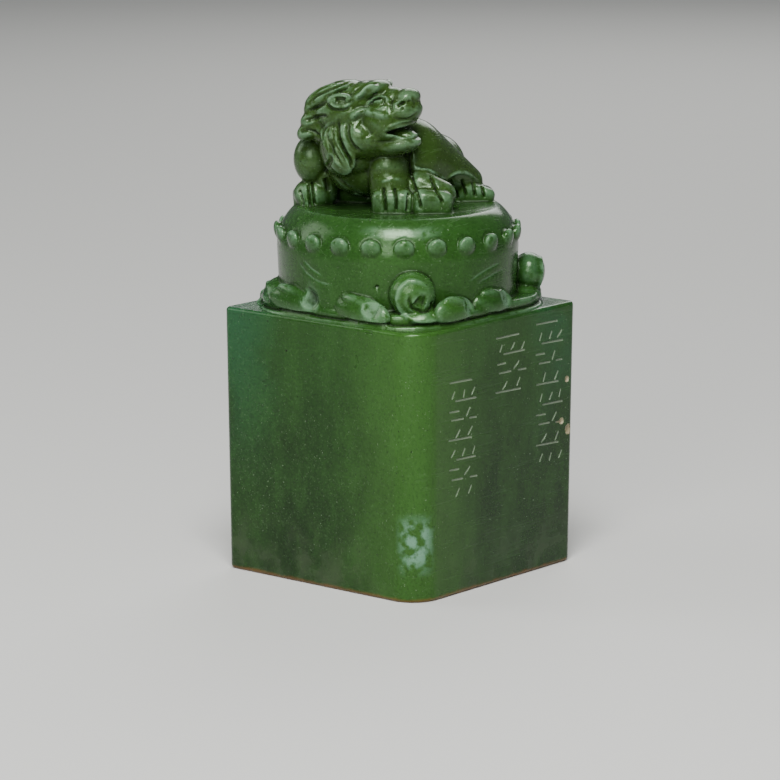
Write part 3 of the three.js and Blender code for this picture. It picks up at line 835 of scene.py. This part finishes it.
def scratch(start, end):
    """A round-bottomed cutter that leaves one shallow stroke between two pixels."""
    (a, face, *_), (b, *_) = on_face(start), on_face(end)
    lift = face * (STROKE_RADIUS - STROKE_DEPTH)
    bpy.ops.object.select_all(action="DESELECT")
    bpy.ops.mesh.primitive_uv_sphere_add(
        segments=CUTTER_SEGMENTS, ring_count=CUTTER_RINGS, radius=STROKE_RADIUS
    )
    cutter = bpy.context.object
    bpy.ops.object.mode_set(mode="EDIT")
    pick("FACE", lambda f: f.calc_center_median().z > 0)
    bpy.ops.transform.translate(value=(0, 0, (b - a).length))
    bpy.ops.object.mode_set(mode="OBJECT")
    turned = (b - a).to_track_quat("Z", "Y").to_matrix().to_4x4()
    cutter.matrix_world = Matrix.Translation(a + lift) @ turned
    return settle(cutter)


cutters = [scratch(start, end) for start, end in LOOSE_SCRATCHES]
for column in STROKE_COLUMNS:
    width = column["right"] - column["left"]
    pitch = (column["bottom"] - column["top"]) / column["rows"]
    for row in range(column["rows"]):
        for first, last, lean in STROKE_ROWS[row % len(STROKE_ROWS)]:
            start = column["left"] + first * width + random.uniform(-UNEVEN_ENDS, UNEVEN_ENDS)
            end = column["left"] + last * width + random.uniform(-UNEVEN_ENDS, UNEVEN_ENDS)
            level = column["top"] + row * pitch - column["rise"] * first * width
            level += random.uniform(-UNEVEN_LEVEL, UNEVEN_LEVEL)
            fall = lean * pitch - column["rise"] * (last - first) * width
            cutters.append(scratch((start, level), (end, level + fall)))
for pixel, size in CHIPS:
    where, face, *_ = on_face(pixel)
    bpy.ops.object.select_all(action="DESELECT")
    middle = where + face * size * CHIP_LIFT
    bpy.ops.mesh.primitive_ico_sphere_add(subdivisions=3, radius=size, location=middle)
    chip = settle(bpy.context.object)
    for corner in chip.data.vertices:
        corner.co += Vector(random.normal(0, CHIP_ROUGHNESS * size, 3))
    cutters.append(chip)

tools = bpy.data.collections.new("cutters")
for cutter in cutters:
    tools.objects.link(cutter)
cutting = {"operation": "DIFFERENCE", "operand_type": "COLLECTION", "collection": tools, "solver": "EXACT"}
finish_with(block, "BOOLEAN", **cutting)
for cutter in cutters:
    bpy.data.objects.remove(cutter)
finish_with(carving, "BOOLEAN", operation="UNION", object=block, solver="MANIFOLD")
bpy.data.objects.remove(block)

skin = read_points(carving.data, "co")
face_reach = SIDE / 2 * (1 - FOOT_TAPER * (1 - skin[:, 2] / BLOCK_HEIGHT))
on_block = (skin[:, 2] > EDGE_MARGIN) & (skin[:, 2] < BLOCK_HEIGHT - EDGE_MARGIN)
on_flat = on_block & (skin[:, 0] > SIDE / 2 - EDGE_MARGIN)
on_flat = on_flat & (np.abs(skin[:, 1]) < SIDE / 2 - CORNER_MARGIN)
scratched = ((face_reach - skin[:, 0] - DUST_FROM) / DUST_RANGE).clip(0, 1) * on_flat
chipped = np.zeros(len(skin))
for pixel, size in CHIPS:
    where = on_face(pixel)[0]
    close = np.linalg.norm(skin - np.array(where), axis=1) < CHIP_REACH * size
    for number in np.flatnonzero(close & on_block):
        depth = block_surface.find_nearest(Vector(skin[number]))[3]
        chipped[number] = min(1, depth / CHIP_SHADE_DEPTH)
for name, values in (("scratched", scratched), ("chipped", chipped)):
    carving.data.attributes.new(name, "FLOAT", "POINT").data.foreach_set("value", values)
seal = carving
seal.scale = [MILLIMETRE] * 3
settle(seal)
bpy.ops.object.shade_smooth_by_angle(angle=SMOOTH_ANGLE)
finish_with(seal, "WEIGHTED_NORMAL", keep_sharp=True, weight=NORMAL_WEIGHT)
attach(seal, "root")
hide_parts("stone_seal")

# Stone
# The stone is a mottled, slightly see-through green, bluer where hands have rubbed it, with a satin
# polish, fine scratches and specks. Light and shade are painted into its colour as well: it is lighter
# higher up as painted light from above, the lighter, yellower band along the front edge is partly the
# stone's tone and partly a painted highlight, ridges are painted pale, partly wear and partly a painted
# highlight, and the cuts and hollows are painted dark as painted shade. A rusty line stains the foot,
# and dusty bloom lies on the lower corners.


class Finish:
    """A socket of a material. Sums on it add Math nodes, and any other node comes from node."""

    def __init__(self, tree, socket=None):
        self.tree = tree
        self.socket = socket

    def node(self, kind, settings, sockets, out=0):
        made = self.tree.nodes.new(kind)
        for name, value in settings.items():
            setattr(made, name, value)
        for name, value in sockets.items():
            if isinstance(value, Finish):
                self.tree.links.new(value.socket, made.inputs[name])
            else:
                made.inputs[name].default_value = value
        return Finish(self.tree, made.outputs[out])

    def maths(self, operation, first, second):
        return self.node("ShaderNodeMath", {"operation": operation}, {0: first, 1: second})

    def __add__(self, other):
        return self.maths("ADD", self, other)

    def __sub__(self, other):
        return self.maths("SUBTRACT", self, other)

    def __rsub__(self, other):
        return self.maths("SUBTRACT", other, self)

    def __mul__(self, other):
        return self.maths("MULTIPLY", self, other)

    __radd__ = __add__
    __rmul__ = __mul__

    def between(self, low, high):
        """0 where the value is at low or less, 1 where it is at high or more, and smooth between."""
        settings = {"interpolation_type": "SMOOTHSTEP"}
        return self.node("ShaderNodeMapRange", settings, {0: self, 1: low, 2: high, 3: 0.0, 4: 1.0})

    def mixed(self, colour, other):
        """One colour where the value is 0, and the other where it is 1."""
        settings = {"data_type": "RGBA", "clamp_factor": True}
        return self.node("ShaderNodeMix", settings, {0: self, 6: colour, 7: other}, out=2)


def shade(red, green, blue):
    """A colour from its values on a screen, from 0 to 255."""
    parts = [value / 255 for value in (red, green, blue)]
    return (*[part / 12.92 if part < 0.04045 else ((part + 0.055) / 1.055) ** 2.4 for part in parts], 1)


DEEP_GREEN = shade(14, 33, 9)
GROUND_GREEN = shade(22, 46, 15)
MOTTLE_GREEN = shade(34, 64, 24)
GRAIN_GREEN = shade(13, 30, 8)
UPPER_GREEN = shade(38, 74, 26)
BLUISH_GREEN = shade(26, 76, 56)
YELLOWISH_GREEN = shade(58, 98, 36)
LION_OLIVE = shade(44, 55, 19)
PALE_FLECK = shade(60, 92, 50)
DARK_FLECK = shade(9, 21, 5)
PALE_WEAR_AND_SHEEN = shade(112, 148, 118)
HOLLOW_SHADE_COLOUR = shade(10, 17, 4)
WHITE_SPECK = shade(140, 160, 132)
DARK_SPECK = shade(12, 18, 8)
BLOOM_GREY = shade(66, 74, 56)
RUB_BLUE = shade(116, 158, 138)
RUST = shade(120, 70, 30)
SCRATCH_GREEN = shade(84, 112, 78)
DUST = shade(150, 160, 142)
CHIP_BUFF = shade(160, 146, 118)
POLISH = {
    "Subsurface Weight": 0.15,
    "Subsurface Radius": (0.9, 1.5, 0.6),
    "Subsurface Scale": MILLIMETRE,
    "IOR": 1.5,
    "Specular IOR Level": 0.3,
    "Specular Tint": (0.7, 1, 0.65, 1),
}
SMOOTHEST = 0.16
RELIEF = {"Strength": 0.35, "Distance": 0.06 * MILLIMETRE}

stone = bpy.data.materials.new("green_stone")
stone.use_nodes = True
tree = stone.node_tree
shader = tree.nodes["Principled BSDF"]
finish = Finish(tree)
place = finish.node("ShaderNodeTexCoord", {}, {}, out="Object")
axes = [finish.node("ShaderNodeSeparateXYZ", {}, {0: place}, out=axis) for axis in range(3)]
across, along, height = [axis * (1 / MILLIMETRE) for axis in axes]


def noise(size, detail=3.0, roughness=0.55, where=place):
    """Soft patches about this many millimetres across."""
    sockets = {"Vector": where, "Scale": 1 / (size * MILLIMETRE), "Detail": detail, "Roughness": roughness}
    return finish.node("ShaderNodeTexNoise", {}, sockets)


def stretched(turn, stretch):
    """The stone's coordinates, turned and drawn out, for scratches that run one way."""
    turned = [math.radians(part) for part in turn]
    return finish.node("ShaderNodeMapping", {}, {"Vector": place, "Rotation": turned, "Scale": stretch})


def attribute(name):
    return finish.node("ShaderNodeAttribute", {"attribute_name": name}, {}, out="Fac")


pale, hollow_shade_mask, marks, chips = [attribute(name) for name in ("wear_and_sheen", "hollow_shade", "scratched", "chipped")]
clouds = noise(9)
mottle = noise(3.2, where=stretched((0, 0, 0), (1, 1, 0.35)))
grain = noise(1.1)
fine = noise(0.32, 4.0, 0.65)
front_edge = (across - along + clouds * 6).between(19, 34)
far_edges = (across + along).between(20, 31) + (0 - across - along).between(20, 31)
upper = height.between(8, 40)
lion = height.between(47, 52)

scratches = noise(0.6, 2.0, where=stretched((10, 25, 40), (1, 0.05, 1))).between(0.6, 0.66)
white_specks = noise(0.25, 1.0).between(0.72, 0.78)
dark_specks = noise(0.4, 1.0, where=stretched((20, 30, 10), (1, 1, 1))).between(0.74, 0.79)
bloom = (1 - height.between(1, 10)) * (1 - front_edge) * noise(4).between(0.4, 0.65)
rub = (across - along).between(28.4, 30) * height.between(3, 6) * (1 - height.between(9, 12))
stain = 1 - (height + noise(1.5) * 0.6).between(0.4, 1.0)

# Colours laid one over another: where each lies, how strong it is, and the colour
layers = [
    (mottle.between(0.42, 0.66), 0.5, MOTTLE_GREEN),
    (grain.between(0.48, 0.7), 0.45, GRAIN_GREEN),
    # Lighter higher up: painted light, as where light falls from above
    (upper, 0.5, UPPER_GREEN),
    (far_edges * upper * clouds.between(0.3, 0.6), 0.5, BLUISH_GREEN),
    # Lighter, yellower towards the rounded front edge: partly the stone's tone, partly a painted highlight
    (front_edge, 0.45, YELLOWISH_GREEN),
    (lion, 0.5, LION_OLIVE),
    (fine.between(0.5, 0.7), 0.2, PALE_FLECK),
    (1 - fine.between(0.34, 0.48), 0.35, DARK_FLECK),
    # Ridges painted pale: partly wear, partly a painted highlight
    (pale * grain.between(0.3, 0.55), 0.6, PALE_WEAR_AND_SHEEN),
    # Cuts and hollows painted dark: painted shade
    (hollow_shade_mask, 0.85, HOLLOW_SHADE_COLOUR),
    (white_specks, 0.4, WHITE_SPECK),
    (dark_specks, 0.85, DARK_SPECK),
    (bloom, 0.4, BLOOM_GREY),
    (rub * noise(1.6).between(0.4, 0.6), 0.6, RUB_BLUE),
    (stain, 0.6, RUST),
    (scratches, 0.05, SCRATCH_GREEN),
    (marks, 0.55, DUST),
    (chips, 0.8, CHIP_BUFF),
]
colour = clouds.between(0.32, 0.68).mixed(DEEP_GREEN, GROUND_GREEN)
for mask, strength, tint in layers:
    colour = (mask * strength).mixed(colour, tint)
dullness = SMOOTHEST + mottle * 0.08 + hollow_shade_mask * 0.25 + bloom * 0.2 + scratches * 0.12 + marks * 0.2
relief = fine * 0.5 + grain * 0.8 - scratches * 0.4 - dark_specks * 0.8
bump = finish.node("ShaderNodeBump", {}, {**RELIEF, "Height": relief})
for name, value in (("Base Color", colour), ("Roughness", dullness), ("Normal", bump)):
    tree.links.new(value.socket, shader.inputs[name])
for name, value in POLISH.items():
    shader.inputs[name].default_value = value
seal.data.materials.clear()
seal.data.materials.append(stone)

# Floor, light and camera
# A plain pale floor, a soft light above, a wider one in front, and weak ones at the left and behind.
# The camera stands where the photograph was taken from. Sizes are in metres here.
FLOOR_SIDE = 6
FLOOR_FINISH = {"Base Color": shade(186, 186, 182), "Roughness": 0.9}
LIGHT_AIM = Vector((0, 0, 0.04))
LIGHTS = [
    {"at": (0.19, -0.24, 0.47), "size": 0.2, "watts": 5.0},
    {"at": (0.24, -0.52, 0.26), "size": 0.30, "watts": 2.4},
    {"at": (-0.45, -0.25, 0.30), "size": 0.30, "watts": 1.0},
    {"at": (-0.25, 0.50, 0.40), "size": 0.40, "watts": 2.0},
]
SURROUND = {"Color": (0.8, 0.85, 0.9, 1), "Strength": 0.18}
SENSOR_WIDTH = 36
NEAREST = 0.01

bpy.ops.object.select_all(action="DESELECT")
bpy.ops.mesh.primitive_plane_add(size=FLOOR_SIDE)
floor = bpy.context.object
floor.name = "floor"
paper = bpy.data.materials.new("paper")
paper.use_nodes = True
for name, value in FLOOR_FINISH.items():
    paper.node_tree.nodes["Principled BSDF"].inputs[name].default_value = value
floor.data.materials.append(paper)

for light in LIGHTS:
    bpy.ops.object.select_all(action="DESELECT")
    bpy.ops.object.light_add(type="AREA", location=light["at"])
    lamp = bpy.context.object
    lamp.data.size = light["size"]
    lamp.data.energy = light["watts"]
    lamp.rotation_euler = (LIGHT_AIM - lamp.location).to_track_quat("-Z", "Y").to_euler()
world = bpy.data.worlds.new("studio")
world.use_nodes = True
for name, value in SURROUND.items():
    world.node_tree.nodes["Background"].inputs[name].default_value = value
bpy.context.scene.world = world

bpy.ops.object.select_all(action="DESELECT")
bpy.ops.object.camera_add()
camera = bpy.context.object
camera.data.sensor_width = SENSOR_WIDTH
camera.data.lens = SENSOR_WIDTH * VIEW_FOCAL / PICTURE_SIDE
camera.data.clip_start = NEAREST
stand = Matrix((VIEW_RIGHT, VIEW_UP, VIEW_BACK)).transposed().to_4x4()
camera.matrix_world = Matrix.Translation(VIEW_EYE * MILLIMETRE) @ stand
bpy.context.scene.camera = camera
